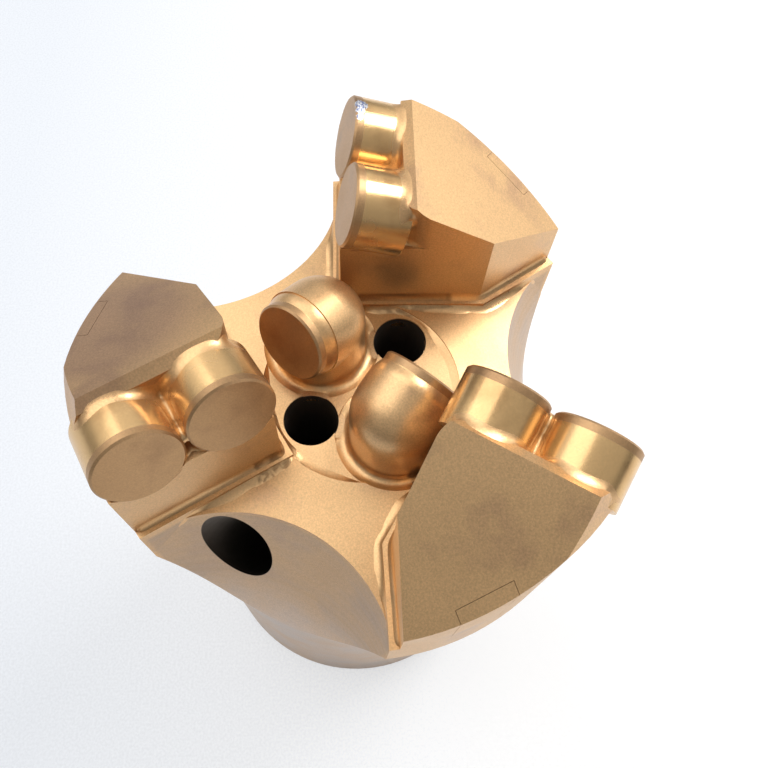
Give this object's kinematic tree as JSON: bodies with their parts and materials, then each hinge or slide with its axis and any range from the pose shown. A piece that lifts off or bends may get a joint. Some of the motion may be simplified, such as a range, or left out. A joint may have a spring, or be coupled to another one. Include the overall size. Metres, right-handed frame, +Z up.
{
  "type": "pdc drill bit",
  "caption": "Gold-painted steel-body PDC drill bit with winged crown, brazed cutters, junk slots, water holes and a box connection.",
  "frame": {"origin": "centre of the flat shank face, on the bit axis", "axes": "+Z up the bit axis to the crown, +X along the first wing"},
  "size_m": [0.1222, 0.1166, 0.1865],
  "materials": {
    "gold_painted_steel": "satin",
    "gold_painted_carbide": "gloss",
    "gold_painted_diamond": "satin",
    "gold_painted_insert": "satin"
  },
  "bodies": {
    "root": {"bit_body": "gold_painted_steel", "outer_cutter_carbide_1": "gold_painted_carbide", "outer_cutter_diamond_1": "gold_painted_diamond", "outer_cutter_carbide_2": "gold_painted_carbide", "outer_cutter_diamond_2": "gold_painted_diamond", "outer_cutter_carbide_3": "gold_painted_carbide", "outer_cutter_diamond_3": "gold_painted_diamond", "inner_cutter_carbide_1": "gold_painted_carbide", "inner_cutter_diamond_1": "gold_painted_diamond", "inner_cutter_carbide_2": "gold_painted_carbide", "inner_cutter_diamond_2": "gold_painted_diamond", "inner_cutter_carbide_3": "gold_painted_carbide", "inner_cutter_diamond_3": "gold_painted_diamond", "centre_cutter_carbide_1": "gold_painted_carbide", "centre_cutter_diamond_1": "gold_painted_diamond", "centre_cutter_carbide_2": "gold_painted_carbide", "centre_cutter_diamond_2": "gold_painted_diamond", "gauge_insert_1": "gold_painted_insert", "gauge_insert_2": "gold_painted_insert", "gauge_insert_3": "gold_painted_insert"}
  },
  "joints": []
}
